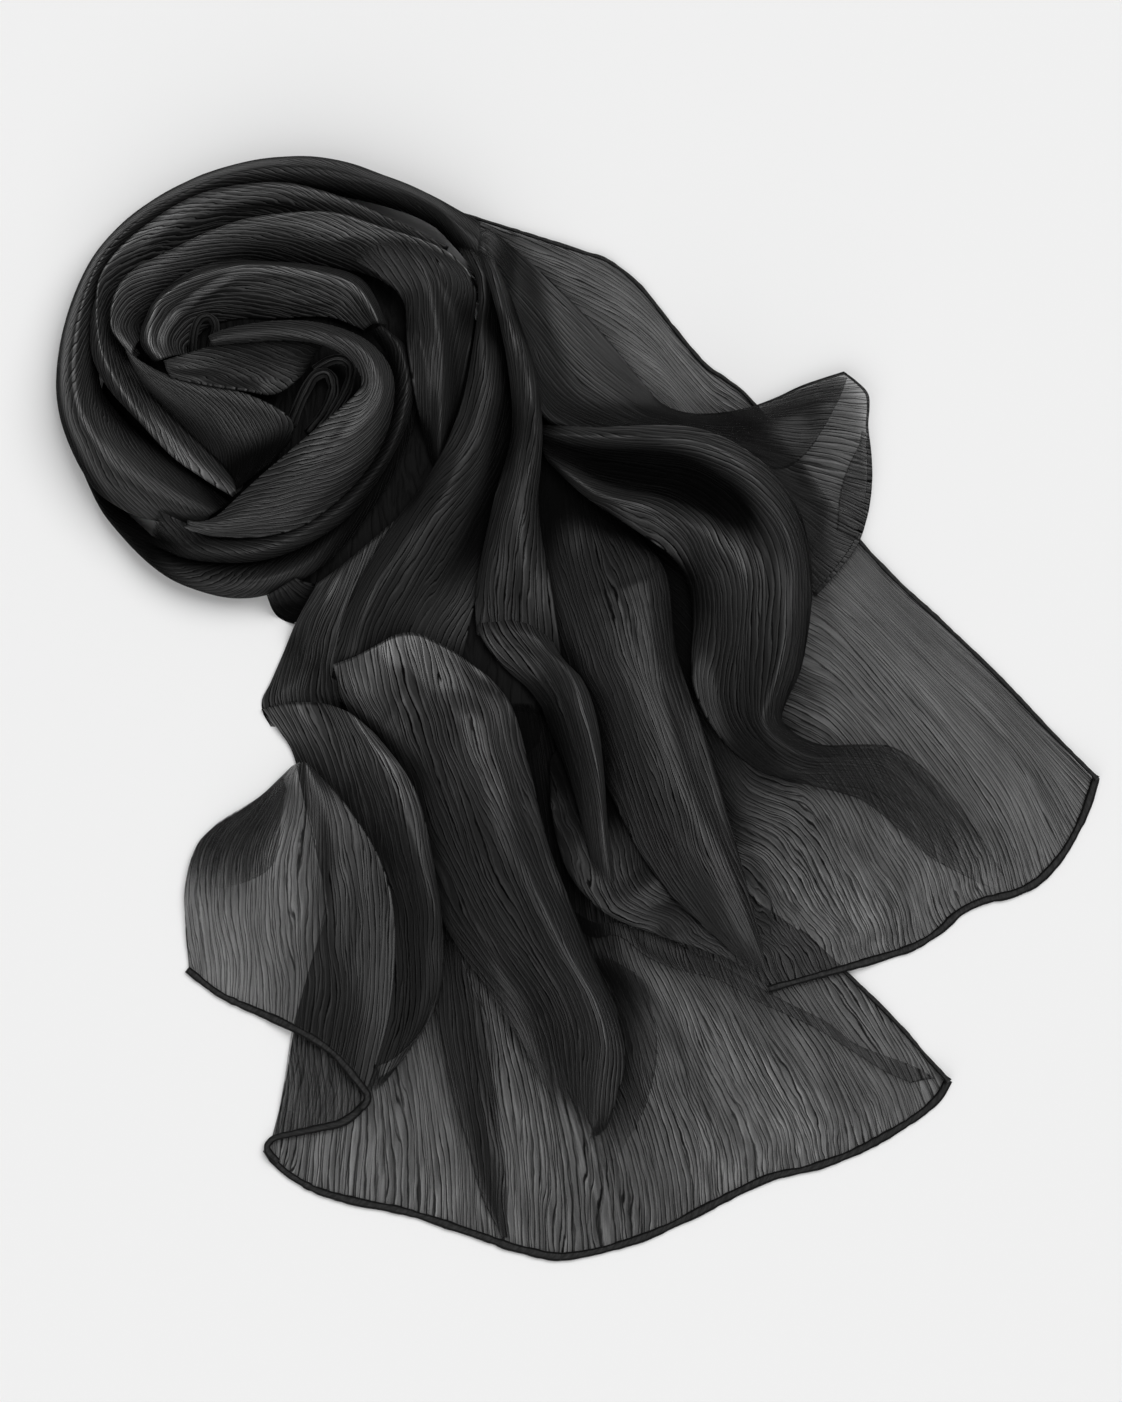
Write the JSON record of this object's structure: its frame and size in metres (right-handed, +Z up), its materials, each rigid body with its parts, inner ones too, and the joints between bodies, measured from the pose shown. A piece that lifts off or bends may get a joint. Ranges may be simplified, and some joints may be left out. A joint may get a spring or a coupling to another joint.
{
  "type": "chiffon scarf",
  "caption": "Sheer crinkled chiffon scarf lying in a loose heap, its middle wound into a rosette and its two tails fanned out over each other, with rolled hems.",
  "frame": {"origin": "middle of the heap's bounding box, on the surface that it lies on", "axes": "+Z up from the surface, +X to the right and +Y away from a viewer who has the fanned tails nearest and the rosette at the far left; Y is the longest extent and Z the shortest"},
  "size_m": [0.5242, 0.5674, 0.0417],
  "materials": {
    "chiffon": "sheer black crinkled chiffon, soft satin sheen, one layer lets the surface below show through",
    "rolled_hem": "narrow rolled hem of the same black chiffon, close and opaque",
    "inner_layers": "many hidden layers of the same chiffon, opaque black"
  },
  "bodies": {
    "root": {"heap_core": "inner_layers", "tail_b_fan": "chiffon", "tail_b_turn": "chiffon", "tail_b_side": "chiffon", "tail_b_flap": "chiffon", "tail_a_fan": "chiffon", "tail_a_turn": "chiffon", "tail_a_middle": "chiffon", "tail_a_fold": "chiffon", "fold_one": "chiffon", "fold_two": "chiffon", "fold_three": "chiffon", "front_panel": "chiffon", "left_panel": "chiffon", "small_corner": "chiffon", "coil_outer": "chiffon", "coil_second": "chiffon", "coil_third": "chiffon", "coil_side": "chiffon", "middle_panel": "chiffon", "coil_inner": "chiffon", "under_rope": "chiffon", "front_coil": "chiffon", "lowest_coil": "chiffon", "front_lip": "chiffon", "tail_b_fan_loose_hem": "rolled_hem", "tail_b_fan_last_hem": "rolled_hem", "tail_a_fan_loose_hem": "rolled_hem", "tail_a_fan_last_hem": "rolled_hem", "tail_b_turn_loose_hem": "rolled_hem", "tail_b_flap_loose_hem": "rolled_hem", "inner_loop": "rolled_hem", "front_loop": "rolled_hem", "back_loop": "rolled_hem"}
  },
  "joints": []
}
